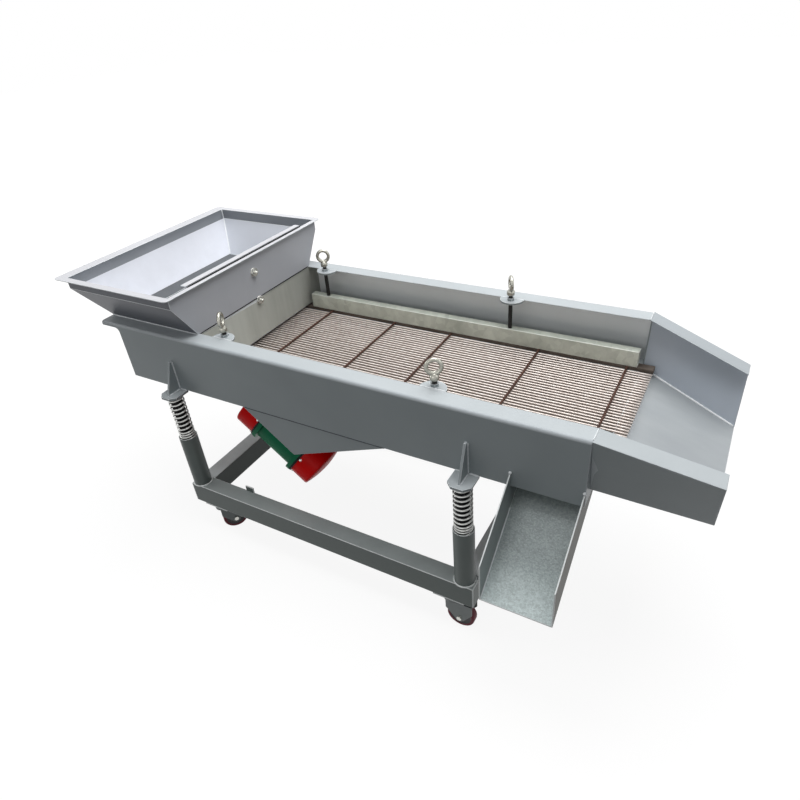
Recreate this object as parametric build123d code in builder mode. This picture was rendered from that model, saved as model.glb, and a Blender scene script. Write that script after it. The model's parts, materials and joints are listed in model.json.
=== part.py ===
from build123d import *
import math
import os

os.makedirs("parts", exist_ok=True)

# Vibrating sieve. X runs from the feed end (-X, hopper) to the discharge end (+X).
# The side with the fines chute is the near side (-Y). Z is up and Z = 0 is the floor.
# All sizes are millimetres and degrees.

# Trough
trough_width = 600.0
trough_depth = 173.0
trough_length = 1369.0
sheet = 3.0
flange_width = 50.0
fold_radius = 8.0
end_flange_reach = 67.0
end_lip_height = 13.0
notch_radius = 14.0

# Discharge spout, which narrows and falls towards its open end
spout_length = 246.0
spout_flange_drop = 76.0
spout_flange_inset = 53.0
spout_floor_seam_rise = 23.0
spout_floor_drop = 73.0
spout_floor_seam_inset = 37.0
spout_floor_end_inset = 113.0
spout_wall_lean = 1.0

# Hopper
hopper_reach = 157.0
hopper_rim_left = 34.0
hopper_rim_front = 11.0
hopper_rim_side = 18.0
hopper_length = 406.0
hopper_width = 640.0
hopper_outlet_length = 348.0
hopper_outlet_width = 512.0
hopper_height = 134.0
hopper_band = 32.0
hopper_corner = 12.0
seam_gap = 1.0

# Feed gate and the baffle in front of it
gate_width = 496.0
gate_gap = 3.0
slot_gap = 1.0
gate_lift = 20.0
gate_rest_gap = 2.0
gate_rise = 4.0
gate_lip = 16.0
gate_bolt_diameter = 10.0
gate_bolt_drop = (54.0, 143.0)
gate_washer_diameter = 28.0
gate_washer_thickness = 2.0
bolt_seat_gap = 0.3
baffle_gap = 8.0

# Screen deck
wire_diameter = 5.0
wire_spacing = 12.0
wire_count = 37
wire_overhang = 31.0
wire_underlap = 24.0
rod_diameter = 6.0
rod_shares = (0.0875, 0.308, 0.49, 0.742, 0.967)
deck_rise = 41.0
deck_seat_gap = 0.05
strip_width = 25.0
ledge_width = 75.0
ledge_thickness = 5.0

# Hold-down bars and their jack screws
bar_width = 25.0
bar_height = 46.0
bar_wall = 2.0
bar_centre = 239.0
bar_front_gap = 15.0
bar_seam_gap = 11.0
jack_front_gap = 79.0
jack_seam_gap = 372.0
jack_centre = 237.0
jack_diameter = 12.0
jack_clearance = 0.08
jack_foot_gap = 0.3
jack_collar_diameter = 22.0
jack_collar_height = 14.0
jack_collar_rise = 16.0
jack_turns = {"near": (30.0, -60.0), "far": (-60.0, 30.0)}
eye_rise = 50.0
eye_outer_diameter = 45.0
eye_wire = 10.0
tab_width = 68.0
tab_thickness = 6.0
nut_across_flats = 19.0
nut_height = 8.0
bolt_across_flats = 22.0

# Fines chute on the near side
chute_width = 165.0
chute_outreach = 172.0
chute_underreach = 94.0
chute_mouth_drop = 192.0
chute_wall_height = 106.0

# Base frame and spring posts
frame_width = 700.0
rail_height = 70.0
rail_width = 50.0
rail_wall = 3.0
rail_cap = 2.0
rail_overhangs = (25.0, 34.0)
feed_post_distance = 189.0
chute_post_gap = 102.0
post_diameter = 54.0
post_wall = 2.0
post_height = 184.0
post_shelf_depth = 24.0
post_shelf_thickness = 4.0
lug_distance = 203.0
lug_length = 30.0
lug_thickness = 4.0
lug_height = 20.0

# Springs and their seats on the trough
spring_length = 170.0
spring_diameter = 48.0
spring_wire = 5.5
spring_turns = 10
spring_end_rise = 5.7
spring_seat_gap = 0.1
spring_steps = 12
seat_thickness = 7.0
seat_length = 60.0
seat_reach = 58.0
seat_corner = 15.0
seat_boss_diameter = 28.0
seat_boss_height = 10.0
gusset_height = 91.0
gusset_thickness = 6.0
gusset_foot = 46.0
gusset_top = 9.0
core_diameter = 33.0
core_gap = 0.6

# Casters
caster_height = 110.0
caster_offsets = (56.0, -38.0)
caster_turns = {"near": (55.0, 0.0), "far": (0.0, 0.0)}
caster_trail = 28.0
caster_plate_length = 90.0
caster_plate_thickness = 4.0
caster_clearance = 0.3
wheel_diameter = 78.0
wheel_width = 25.0
wheel_hub_width = 31.0
wheel_hub_diameter = 26.0
wheel_edge = 3.0
kingpin_diameter = 12.0
kingpin_head_diameter = 20.0
kingpin_head_height = 4.0
axle_diameter = 8.0
axle_head_flats = 13.0
axle_head_height = 5.0
shaft_clearance = 0.05
fork_wall = 3.0
fork_crown_height = 13.0
fork_crown_diameter = 46.0
fork_leg_radius = 14.0
fork_hood_start = -12.0
fork_hood_length = 76.0
fork_hood_drop = 32.0

# Motor bracket and the two vibration motors
bracket_start = 432.0
bracket_low = 581.0
bracket_end = 885.0
bracket_drop = 120.0
bracket_plate = 6.0
motor_plate = 10.0
motor_length = 281.0
motor_cap_length = 67.0
motor_cap_diameter = 144.0
motor_cap_wall = 2.5
motor_cap_round = 6.0
motor_body_diameter = 132.0
motor_flange_diameter = 154.0
motor_flange_thickness = 12.0
motor_axis_depth = 86.0
motor_centre_along = 128.0
motor_edge_gap = 22.0
motor_foot_width = 148.0
motor_foot_thickness = 14.0
motor_web_width = 96.0
motor_shaft_diameter = 25.0
weight_radius = 56.0
weight_thickness = 28.0
weight_gap = 8.0
weight_hub_diameter = 44.0
shaft_end_gap = 12.0
motor_bolt_diameter = 12.0
motor_bolt_spacing = (90.0, 124.0)

# Places that follow from the sizes above
overall_length = hopper_reach + trough_length + spout_length
feed_x = hopper_reach - overall_length / 2
seam_x = feed_x + trough_length
end_x = seam_x + spout_length
half_width = trough_width / 2
chute_reach = half_width + chute_outreach
mid_y = (chute_reach - half_width - seat_reach) / 2
rail_z = caster_height
rail_top_z = rail_z + rail_height
post_top_z = rail_top_z + post_height
spring_foot_z = post_top_z - post_shelf_depth
seat_z = spring_foot_z + spring_length
trough_z = seat_z + seat_thickness
flange_z = trough_z + trough_depth
deck_z = trough_z + deck_rise
ledge_z = deck_z - wire_diameter - rod_diameter - 3 * deck_seat_gap
bar_top_z = deck_z + bar_height
hopper_top_z = flange_z + hopper_height
hopper_left_x = feed_x - hopper_reach + hopper_rim_left
hopper_front_x = hopper_left_x + hopper_length
gate_x = hopper_front_x - sheet - gate_gap - sheet
gate_foot_z = deck_z + gate_rest_gap
gate_top_z = hopper_top_z + gate_rise
floor_seam_z = trough_z + spout_floor_seam_rise
wire_start_x = gate_x - wire_underlap
wire_end_x = seam_x + wire_overhang
near, far = -1, 1
side_names = {near: "near", far: "far"}
end_names = ("feed", "discharge")
inward = {near: Align.MIN, far: Align.MAX}
outward = {near: Align.MAX, far: Align.MIN}
rail_centre = (frame_width - rail_width) / 2
chute_end_x = seam_x
chute_start_x = chute_end_x - chute_width
post_x = (feed_x + feed_post_distance, chute_start_x - chute_post_gap)
rail_start_x = post_x[0] - rail_overhangs[0]
rail_end_x = post_x[1] + rail_overhangs[1]


def across(side, distance):
    """Y of a point that lies a distance from the trough's centre plane, on one side of it."""
    return mid_y + side * distance


def save(builder, name, axis=Axis.Z, turn=0.0):
    """Turn a finished piece about an axis, label it and write it as its own STEP file."""
    piece = builder.part.rotate(axis, turn) if turn else builder.part
    piece.label = name
    export_step(piece, f"parts/{name}.step")


# Trough side plates: one sheet each, folded inward at the top. Beyond the feed end plate only
# the strip that wraps the end flange is left.
def folded_side(side):
    outer = across(side, half_width)
    toward_middle = -side
    with BuildPart() as plate:
        with BuildSketch(Plane.YZ.offset(feed_x - end_flange_reach)):
            with BuildLine():
                Polyline(
                    (outer, trough_z),
                    (outer, flange_z),
                    (outer + toward_middle * flange_width, flange_z),
                    (outer + toward_middle * flange_width, flange_z - sheet),
                    (outer + toward_middle * sheet, flange_z - sheet),
                    (outer + toward_middle * sheet, trough_z),
                    close=True,
                )
            make_face()
            outer_corners = vertices().group_by(Axis.X)[0 if side == near else -1]
            fillet(outer_corners.sort_by(Axis.Y)[-1], fold_radius)
        extrude(amount=trough_length + end_flange_reach)
        with BuildSketch(Plane.XZ.offset(-outer)):
            with Locations((feed_x, trough_z)):
                Rectangle(
                    2 * end_flange_reach,
                    trough_depth - end_lip_height,
                    align=(Align.MAX, Align.MIN),
                )
            fillet(vertices().sort_by(Axis.X)[-2:].sort_by(Axis.Y)[-1], notch_radius)
        extrude(amount=2 * sheet, both=True, mode=Mode.SUBTRACT)
    return plate


for side in (near, far):
    save(folded_side(side), f"trough_side_{side_names[side]}")


# Feed end plate: upright plate, outward flange between the side flanges, and a short lip.
inner_half = half_width - sheet
flange_inner_half = half_width - flange_width
with BuildPart() as feed_end_plate:
    with Locations((feed_x, mid_y, trough_z)):
        Box(sheet, 2 * inner_half, trough_depth - sheet, align=(Align.MIN, Align.CENTER, Align.MIN))
    with Locations((feed_x + sheet, mid_y, flange_z)):
        Box(
            end_flange_reach + sheet,
            2 * flange_inner_half,
            sheet,
            align=(Align.MAX, Align.CENTER, Align.MAX),
        )
    with Locations((feed_x - end_flange_reach, mid_y, flange_z - sheet)):
        Box(
            sheet,
            2 * inner_half,
            end_lip_height - sheet,
            align=(Align.MIN, Align.CENTER, Align.MAX),
        )
save(feed_end_plate, "feed_end_plate")


# Bottom pan with the opening above the fines chute.
with BuildPart() as bottom_pan:
    with BuildSketch(Plane.XY.offset(trough_z)):
        with Locations(((feed_x + sheet + seam_x - sheet) / 2, mid_y)):
            Rectangle(trough_length - 2 * sheet, 2 * inner_half)
        with Locations((chute_end_x - sheet, across(near, inner_half))):
            Rectangle(
                chute_width - 2 * sheet,
                chute_underreach - sheet,
                align=(Align.MAX, Align.MIN),
                mode=Mode.SUBTRACT,
            )
    extrude(amount=sheet)
save(bottom_pan, "bottom_pan")


# Frame plate at the seam, which closes the trough around the narrower spout.
with BuildPart() as seam_frame:
    with BuildSketch(Plane.YZ.offset(seam_x - sheet)):
        with BuildLine():
            Polyline(
                (across(near, inner_half), flange_z - sheet),
                (across(near, inner_half), trough_z),
                (across(far, inner_half), trough_z),
                (across(far, inner_half), flange_z - sheet),
                (across(far, inner_half - spout_wall_lean), flange_z - sheet),
                (across(far, half_width - spout_floor_seam_inset), floor_seam_z),
                (across(near, half_width - spout_floor_seam_inset), floor_seam_z),
                (across(near, inner_half - spout_wall_lean), flange_z - sheet),
                close=True,
            )
        make_face()
    extrude(amount=sheet)
save(seam_frame, "seam_frame")


# Discharge spout: two leaning side walls with flanges and a sloping floor between them.
def spout_section(side, top_half, top_z, foot_half, foot_z):
    """Section of one spout wall: foot, wall and the flange folded inward at its top."""
    return [
        (across(side, foot_half), foot_z),
        (across(side, top_half), top_z),
        (across(side, top_half - flange_width), top_z),
        (across(side, top_half - flange_width), top_z - sheet),
        (across(side, top_half - sheet - spout_wall_lean), top_z - sheet),
        (across(side, foot_half - sheet), foot_z),
    ]


spout_top_half = half_width - spout_flange_inset
spout_foot_half = half_width - spout_floor_end_inset
seam_foot_half = half_width - spout_floor_seam_inset
floor_end_z = floor_seam_z - spout_floor_drop
for side in (near, far):
    with BuildPart() as spout_wall:
        with BuildSketch(Plane.YZ.offset(seam_x)):
            Polygon(
                *spout_section(side, half_width, flange_z, seam_foot_half, floor_seam_z - sheet),
                align=None,
            )
        with BuildSketch(Plane.YZ.offset(end_x)):
            Polygon(
                *spout_section(
                    side,
                    spout_top_half,
                    flange_z - spout_flange_drop,
                    spout_foot_half,
                    floor_end_z - sheet,
                ),
                align=None,
            )
        loft(ruled=True)
    save(spout_wall, f"spout_wall_{side_names[side]}")

with BuildPart() as spout_floor:
    for x, half, z in (
        (seam_x, seam_foot_half - sheet, floor_seam_z),
        (end_x, spout_foot_half - sheet, floor_end_z),
    ):
        with BuildSketch(Plane.YZ.offset(x)):
            with Locations((mid_y, z)):
                Rectangle(2 * half, sheet, align=(Align.CENTER, Align.MAX))
    loft(ruled=True)
save(spout_floor, "spout_floor")


# Fines chute: a sloping floor that starts under the pan, and two upright walls that also
# lean against the outside of the near side plate.
pan_underside_z = trough_z
chute_mouth_z = pan_underside_z - chute_mouth_drop
chute_top_y = across(near, half_width - chute_underreach)
chute_mouth_y = across(near, chute_reach)
chute_slope = chute_mouth_drop / (chute_outreach + chute_underreach)
near_face_y = across(near, half_width)
wall_mouth_top_z = chute_mouth_z + chute_wall_height
wall_panel_top_z = wall_mouth_top_z + chute_slope * chute_outreach
with BuildPart() as chute_floor:
    with BuildSketch(Plane.YZ.offset(chute_start_x + sheet)):
        with BuildLine():
            Polyline(
                (chute_mouth_y, chute_mouth_z),
                (chute_mouth_y, chute_mouth_z + sheet),
                (chute_top_y - sheet / chute_slope, pan_underside_z),
                (chute_top_y, pan_underside_z),
                close=True,
            )
        make_face()
    extrude(amount=chute_width - 2 * sheet)
save(chute_floor, "chute_floor")

with BuildPart() as chute_walls:
    for x in (chute_start_x, chute_end_x - sheet):
        with BuildSketch(Plane.YZ.offset(x)):
            with BuildLine():
                Polyline(
                    (chute_mouth_y, chute_mouth_z),
                    (chute_top_y, pan_underside_z),
                    (near_face_y, pan_underside_z),
                    (near_face_y, wall_panel_top_z),
                    (chute_mouth_y, wall_mouth_top_z),
                    close=True,
                )
            make_face()
        extrude(amount=sheet)
save(chute_walls, "chute_walls")


# Hopper: rim, upright band and tapered walls as one welded sheet piece, open at the bottom.
hopper_band_z = hopper_top_z - hopper_band
hopper_mid_x = hopper_left_x + hopper_length / 2
outlet_mid_x = hopper_front_x - hopper_outlet_length / 2
rim_length = hopper_length + hopper_rim_left + hopper_rim_front
rim_mid_x = hopper_mid_x + (hopper_rim_front - hopper_rim_left) / 2
with BuildPart() as hopper:
    with BuildSketch(Plane.XY.offset(hopper_band_z)):
        with Locations((hopper_mid_x, mid_y)):
            Rectangle(hopper_length, hopper_width)
    extrude(amount=hopper_band)
    for x, z, length, width in (
        (hopper_mid_x, hopper_band_z, hopper_length, hopper_width),
        (outlet_mid_x, flange_z, hopper_outlet_length, hopper_outlet_width),
    ):
        with BuildSketch(Plane.XY.offset(z)):
            with Locations((x, mid_y)):
                Rectangle(length, width)
    loft(ruled=True)
    with BuildSketch(Plane.XY.offset(hopper_top_z)):
        with Locations((rim_mid_x, mid_y)):
            RectangleRounded(rim_length, hopper_width + 2 * hopper_rim_side, hopper_corner)
    extrude(amount=-sheet)
    with BuildSketch(Plane.XY.offset(hopper_band_z)):
        with Locations((hopper_mid_x, mid_y)):
            Rectangle(hopper_length - 2 * sheet, hopper_width - 2 * sheet)
    extrude(amount=hopper_band, mode=Mode.SUBTRACT)
    for x, z, length, width in (
        (hopper_mid_x, hopper_band_z, hopper_length, hopper_width),
        (outlet_mid_x, flange_z, hopper_outlet_length, hopper_outlet_width),
    ):
        with BuildSketch(Plane.XY.offset(z)):
            with Locations((x, mid_y)):
                Rectangle(length - 2 * sheet, width - 2 * sheet)
    loft(ruled=True, mode=Mode.SUBTRACT)
    with Locations(Plane.YZ.offset(hopper_front_x)):
        with Locations((mid_y, hopper_top_z - gate_bolt_drop[0])):
            Hole(gate_bolt_diameter / 2, depth=2 * sheet)
save(hopper, "hopper")


# Baffle below the hopper's front wall, and the feed gate that slides up behind both.
baffle_z = deck_z + baffle_gap
gate_bolt_z = [hopper_top_z - drop for drop in gate_bolt_drop]
with BuildPart() as feed_baffle:
    with BuildSketch(Plane.YZ.offset(hopper_front_x - sheet)):
        for half, top_z in ((inner_half, flange_z - sheet), (flange_inner_half, flange_z - seam_gap)):
            with Locations((mid_y, baffle_z)):
                Rectangle(2 * half, top_z - baffle_z, align=(Align.CENTER, Align.MIN))
        with Locations((mid_y, gate_bolt_z[1])):
            Circle(gate_bolt_diameter / 2, mode=Mode.SUBTRACT)
    extrude(amount=sheet)
save(feed_baffle, "feed_baffle")

with BuildPart() as feed_gate:
    with BuildSketch(Plane.YZ.offset(gate_x)):
        with Locations((mid_y, gate_foot_z)):
            Rectangle(gate_width, gate_top_z - gate_foot_z, align=(Align.CENTER, Align.MIN))
        with Locations(*[(mid_y, z - gate_lift / 2) for z in gate_bolt_z]):
            SlotCenterToCenter(
                gate_lift + 2 * slot_gap,
                gate_bolt_diameter + 2 * slot_gap,
                rotation=90,
                mode=Mode.SUBTRACT,
            )
    extrude(amount=sheet)
    with Locations((gate_x + sheet, mid_y, gate_top_z)):
        Box(gate_lip + sheet, gate_width, sheet, align=(Align.MAX, Align.CENTER, Align.MAX))
save(feed_gate, "feed_gate")

washer_x = gate_x - bolt_seat_gap
with BuildPart() as gate_bolts:
    with BuildSketch(Plane.YZ.offset(hopper_front_x + nut_height)):
        with Locations(*[(mid_y, z) for z in gate_bolt_z]):
            Circle(gate_bolt_diameter / 2 - shaft_clearance)
    extrude(amount=washer_x - gate_washer_thickness - hopper_front_x - 2 * nut_height)
    for x in (hopper_front_x, washer_x - gate_washer_thickness - nut_height):
        with BuildSketch(Plane.YZ.offset(x)):
            with Locations(*[(mid_y, z) for z in gate_bolt_z]):
                RegularPolygon(bolt_across_flats / 2, 6, major_radius=False)
        extrude(amount=nut_height)
    with BuildSketch(Plane.YZ.offset(washer_x)):
        with Locations(*[(mid_y, z) for z in gate_bolt_z]):
            Circle(gate_washer_diameter / 2)
    extrude(amount=-gate_washer_thickness)
save(gate_bolts, "gate_bolts")


# Screen deck: ledges on the side plates, side strips, wires lengthwise, cross rods on top of
# them, and a blind plate under the hopper.
rod_z = deck_z - deck_seat_gap - rod_diameter / 2
wire_z = rod_z - rod_diameter / 2 - deck_seat_gap - wire_diameter / 2
strip_inner = bar_centre - strip_width / 2
with BuildPart() as deck_ledges:
    for side in (near, far):
        with Locations((feed_x + sheet, across(side, inner_half), ledge_z)):
            Box(
                trough_length - 2 * sheet,
                ledge_width,
                ledge_thickness,
                align=(Align.MIN, inward[side], Align.MAX),
            )
save(deck_ledges, "deck_ledges")

with BuildPart() as screen_strips:
    for side in (near, far):
        with Locations((feed_x + sheet, across(side, bar_centre), ledge_z)):
            Box(
                wire_end_x - feed_x - sheet,
                strip_width,
                deck_z - ledge_z,
                align=(Align.MIN, Align.CENTER, Align.MIN),
            )
save(screen_strips, "screen_strips")

with BuildPart() as screen_rods:
    with BuildSketch(Plane.XZ.offset(-mid_y)):
        rod_x = [hopper_front_x + share * (seam_x - hopper_front_x) for share in rod_shares]
        with Locations(*[(x, rod_z) for x in rod_x]):
            Circle(rod_diameter / 2)
    extrude(amount=strip_inner, both=True)
save(screen_rods, "screen_rods")

with BuildPart() as screen_wires:
    with BuildSketch(Plane.YZ.offset(wire_start_x)):
        with Locations((mid_y, wire_z)):
            with GridLocations(wire_spacing, wire_spacing, wire_count, 1):
                Circle(wire_diameter / 2)
    extrude(amount=wire_end_x - wire_start_x)
save(screen_wires, "screen_wires")

with BuildPart() as feed_plate:
    with Locations((feed_x + sheet, mid_y, deck_z)):
        Box(
            gate_x - feed_x - 2 * sheet,
            2 * inner_half,
            sheet,
            align=(Align.MIN, Align.CENTER, Align.MIN),
        )
save(feed_plate, "feed_plate")

bar_start_x = hopper_front_x + bar_front_gap
bar_length = seam_x - bar_seam_gap - bar_start_x
for side in (near, far):
    with BuildPart() as hold_down_bar:
        with BuildSketch(Plane.YZ.offset(bar_start_x)):
            with Locations((across(side, bar_centre), deck_z + bar_height / 2)):
                Rectangle(bar_width, bar_height)
                Rectangle(bar_width - 2 * bar_wall, bar_height - 2 * bar_wall, mode=Mode.SUBTRACT)
        extrude(amount=bar_length)
    save(hold_down_bar, f"hold_down_bar_{side_names[side]}")


# Jack screws: a half-round tab with a welded nut on each flange, and the eye nut on its stud.
jack_x = (hopper_front_x + jack_front_gap, seam_x - jack_seam_gap)
jack_places = {
    (side, end): (x, across(side, jack_centre))
    for side in (near, far)
    for end, x in zip(end_names, jack_x)
}
with BuildPart() as jack_tabs:
    for (side, end), (x, y) in jack_places.items():
        with BuildSketch(Plane.XY.offset(flange_z)):
            with Locations((x, across(side, flange_inner_half))):
                Circle(tab_width / 2)
                Rectangle(
                    tab_width,
                    tab_width,
                    align=(Align.CENTER, outward[side]),
                    mode=Mode.SUBTRACT,
                )
        extrude(amount=-tab_thickness)
        with BuildSketch(Plane.XY.offset(flange_z)):
            with Locations((x, y)):
                RegularPolygon(nut_across_flats / 2, 6, major_radius=False)
        extrude(amount=nut_height)
        with BuildSketch(Plane.XY.offset(flange_z + nut_height)):
            with Locations((x, y)):
                Circle(jack_diameter / 2 + jack_clearance)
        extrude(amount=-nut_height - tab_thickness, mode=Mode.SUBTRACT)
save(jack_tabs, "jack_tabs")

jack_foot_z = bar_top_z + jack_foot_gap
collar_top_z = flange_z + jack_collar_rise + jack_collar_height
for (side, end), (x, y) in jack_places.items():
    turn = math.radians(jack_turns[side_names[side]][end_names.index(end)])
    with BuildPart() as jack:
        with Locations((x, y, collar_top_z)):
            for diameter, height in (
                (jack_diameter, collar_top_z - jack_foot_z),
                (jack_collar_diameter, jack_collar_height),
            ):
                Cylinder(diameter / 2, height, align=(Align.CENTER, Align.CENTER, Align.MAX))
        eye_axis = (math.cos(turn), math.sin(turn), 0)
        with Locations(Plane(origin=(x, y, flange_z + eye_rise), z_dir=eye_axis)):
            Torus((eye_outer_diameter - eye_wire) / 2, eye_wire / 2)
    save(jack, f"jack_{side_names[side]}_{end}")


# Base frame: two rails, two cross rails between them, end caps and a small lug.
rail_cap_half = frame_width / 2 - rail_width
for side in (near, far):
    with BuildPart() as rail:
        with BuildSketch(Plane.YZ.offset(rail_start_x + rail_cap)):
            with Locations((across(side, rail_centre), rail_z + rail_height / 2)):
                Rectangle(rail_width, rail_height)
                Rectangle(rail_width - 2 * rail_wall, rail_height - 2 * rail_wall, mode=Mode.SUBTRACT)
        extrude(amount=rail_end_x - rail_start_x - 2 * rail_cap)
    save(rail, f"rail_{side_names[side]}")

for end, x in zip(end_names, (rail_start_x + rail_width / 2, rail_end_x - rail_width / 2)):
    with BuildPart() as cross_rail:
        with BuildSketch(Plane.XZ.offset(-mid_y)):
            with Locations((x, rail_z + rail_height / 2)):
                Rectangle(rail_width, rail_height)
                Rectangle(rail_width - 2 * rail_wall, rail_height - 2 * rail_wall, mode=Mode.SUBTRACT)
        extrude(amount=rail_cap_half, both=True)
    save(cross_rail, f"cross_rail_{end}")

with BuildPart() as rail_end_caps:
    for x in (rail_start_x, rail_end_x - rail_cap):
        for side in (near, far):
            with Locations((x, across(side, rail_centre), rail_z)):
                Box(rail_cap, rail_width, rail_height, align=(Align.MIN, Align.CENTER, Align.MIN))
save(rail_end_caps, "rail_end_caps")

with BuildPart() as rail_lug:
    with Locations((rail_start_x + lug_distance, across(near, rail_cap_half), rail_top_z)):
        Box(lug_length, lug_thickness, lug_height, align=(Align.CENTER, Align.MAX, Align.MIN))
save(rail_lug, "rail_lug")


# Spring posts: tubes on the rails, each with a shelf that carries its spring.
post_places = {
    (side, end): (x, across(side, rail_centre))
    for side in (near, far)
    for end, x in zip(end_names, post_x)
}
with BuildPart() as spring_posts:
    with BuildSketch(Plane.XY.offset(rail_top_z)):
        with Locations(*post_places.values()):
            Circle(post_diameter / 2)
            Circle(post_diameter / 2 - post_wall, mode=Mode.SUBTRACT)
    extrude(amount=post_height)
    with BuildSketch(Plane.XY.offset(spring_foot_z)):
        with Locations(*post_places.values()):
            Circle(post_diameter / 2 - post_wall)
    extrude(amount=-post_shelf_thickness)
save(spring_posts, "spring_posts")

with BuildPart() as spring_seats:
    for (side, end), (x, y) in post_places.items():
        with BuildSketch(Plane.XY.offset(seat_z)):
            with Locations((x, across(side, inner_half))):
                Rectangle(seat_length, seat_reach + sheet, align=(Align.CENTER, outward[side]))
            chamfer(vertices().group_by(Axis.Y)[0 if side == near else -1], seat_corner)
        extrude(amount=seat_thickness)
        with Locations((x, y, seat_z)):
            Cylinder(
                seat_boss_diameter / 2,
                seat_boss_height,
                align=(Align.CENTER, Align.CENTER, Align.MAX),
            )
        with BuildSketch(Plane.YZ.offset(x - gusset_thickness / 2)):
            with BuildLine():
                Polyline(
                    (across(side, half_width), trough_z),
                    (across(side, half_width + gusset_foot), trough_z),
                    (across(side, half_width + gusset_top), trough_z + gusset_height),
                    (across(side, half_width), trough_z + gusset_height),
                    close=True,
                )
            make_face()
        extrude(amount=gusset_thickness)
save(spring_seats, "spring_seats")


# Coil springs: one closed turn at each end, the others spread evenly between them. A rubber
# core fills each coil between the post's shelf and the boss under the seat.
coil_radius = (spring_diameter - spring_wire) / 2
coil_low = spring_wire / 2 + spring_seat_gap
coil_high = spring_length - coil_low
coil_rise = (coil_high - coil_low - 2 * spring_end_rise) / (spring_turns - 2)
core_length = spring_length - seat_boss_height - spring_seat_gap - core_gap


def coil_height(turn):
    """Height of the wire's centre above the spring's foot, after some turns."""
    closed = spring_end_rise * (min(turn, 1) + max(turn - spring_turns + 1, 0))
    return coil_low + closed + coil_rise * min(max(turn - 1, 0), spring_turns - 2)


def coil_point(step):
    """Centre of the wire after some steps of a turn, with the coil's axis at the origin."""
    angle = 2 * math.pi * step / spring_steps
    return Vector(
        coil_radius * math.cos(angle),
        coil_radius * math.sin(angle),
        coil_height(step / spring_steps),
    )


last_step = spring_turns * spring_steps
for (side, end), (x, y) in post_places.items():
    foot = Vector(x, y, spring_foot_z)
    with BuildPart() as spring:
        for step in range(last_step + 1):
            centre = coil_point(step)
            ahead = coil_point(min(step + 1, last_step)) - coil_point(max(step - 1, 0))
            section = Plane(origin=foot + centre, x_dir=(centre.X, centre.Y, 0), z_dir=ahead)
            with BuildSketch(section):
                RegularPolygon(spring_wire / 2, 6, major_radius=False)
        loft(ruled=True)
        with BuildSketch(Plane.XY.offset(spring_foot_z + spring_seat_gap)):
            with Locations((x, y)):
                Circle(core_diameter / 2)
        extrude(amount=core_length)
    save(spring, f"spring_{side_names[side]}_{end}")


# Casters: plate with its kingpin on the rail, swivelling fork, wheel and axle.
crown_top_z = caster_height - caster_plate_thickness - caster_clearance
crown_z = crown_top_z - fork_crown_height
axle_z = wheel_diameter / 2
leg_inner = wheel_hub_width / 2 + caster_clearance
caster_places = {
    (side, end): (x + offset, across(side, rail_centre))
    for side in (near, far)
    for end, x, offset in zip(end_names, post_x, caster_offsets)
}
with BuildPart() as caster_plates:
    for x, y in caster_places.values():
        with Locations((x, y, caster_height)):
            Box(
                caster_plate_length,
                rail_width,
                caster_plate_thickness,
                align=(Align.CENTER, Align.CENTER, Align.MAX),
            )
        with Locations((x, y, crown_z - caster_clearance)):
            Cylinder(
                kingpin_diameter / 2,
                caster_height - caster_plate_thickness - crown_z + caster_clearance,
                align=(Align.CENTER, Align.CENTER, Align.MIN),
            )
            Cylinder(
                kingpin_head_diameter / 2,
                kingpin_head_height,
                align=(Align.CENTER, Align.CENTER, Align.MAX),
            )
save(caster_plates, "caster_plates")

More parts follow.
